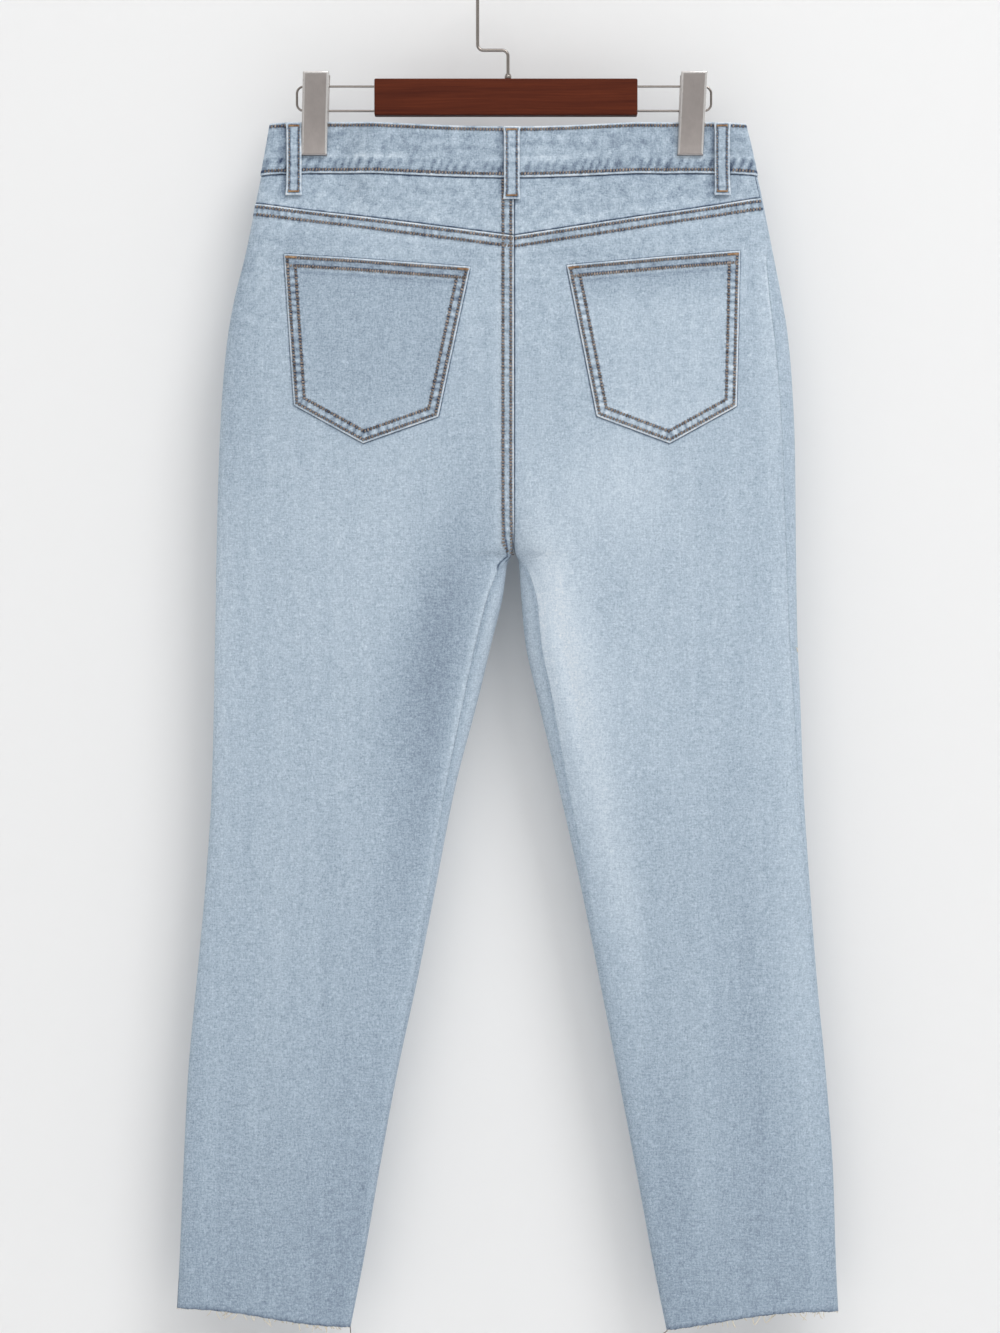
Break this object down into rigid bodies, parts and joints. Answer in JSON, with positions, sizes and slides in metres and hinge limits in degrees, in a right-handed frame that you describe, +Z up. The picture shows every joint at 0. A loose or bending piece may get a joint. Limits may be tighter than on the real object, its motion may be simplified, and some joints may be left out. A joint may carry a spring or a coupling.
{
  "type": "skinny jeans on a clip trouser hanger",
  "caption": "Light-wash skinny jeans with raw, frayed hems, hanging flat by the waistband from a wooden trouser hanger with metal clips.",
  "frame": {"origin": "inside top of the hanger hook's crook, where it rests on a rail", "axes": "+Z up; -Y the seat side, which the picture shows; +Y the fly side; +X the wearer's right"},
  "size_m": [0.5653, 0.0517, 1.1755],
  "materials": {
    "light_denim": "washed stretch denim, pale blue with a fine slub twill and white wear along its seams",
    "fray_yarn": "loose undyed cotton weft yarn",
    "red_brown_wood": "red-brown stained wood under satin lacquer",
    "satin_nickel": "satin nickel plate on steel sheet and wire"
  },
  "bodies": {
    "root": {"back_panel_left": "light_denim", "back_panel_right": "light_denim", "front_panel_left": "light_denim", "front_panel_right": "light_denim", "back_yoke_left": "light_denim", "back_yoke_right": "light_denim", "waistband": "light_denim", "back_pocket_left": "light_denim", "back_pocket_right": "light_denim", "belt_loop_centre_back": "light_denim", "belt_loop_back_left": "light_denim", "belt_loop_back_right": "light_denim", "belt_loop_front_left": "light_denim", "belt_loop_front_right": "light_denim", "fly_flap": "light_denim", "waist_button": "satin_nickel", "hem_fray_left": "fray_yarn", "hem_fray_right": "fray_yarn", "hanger_bar": "red_brown_wood", "hanger_hook": "satin_nickel", "hanger_collar": "satin_nickel", "hanger_rod_left": "satin_nickel", "hanger_rod_right": "satin_nickel", "clip_seat_side_left": "satin_nickel", "clip_seat_side_right": "satin_nickel", "clip_fly_side_left": "satin_nickel", "clip_fly_side_right": "satin_nickel"}
  },
  "joints": []
}
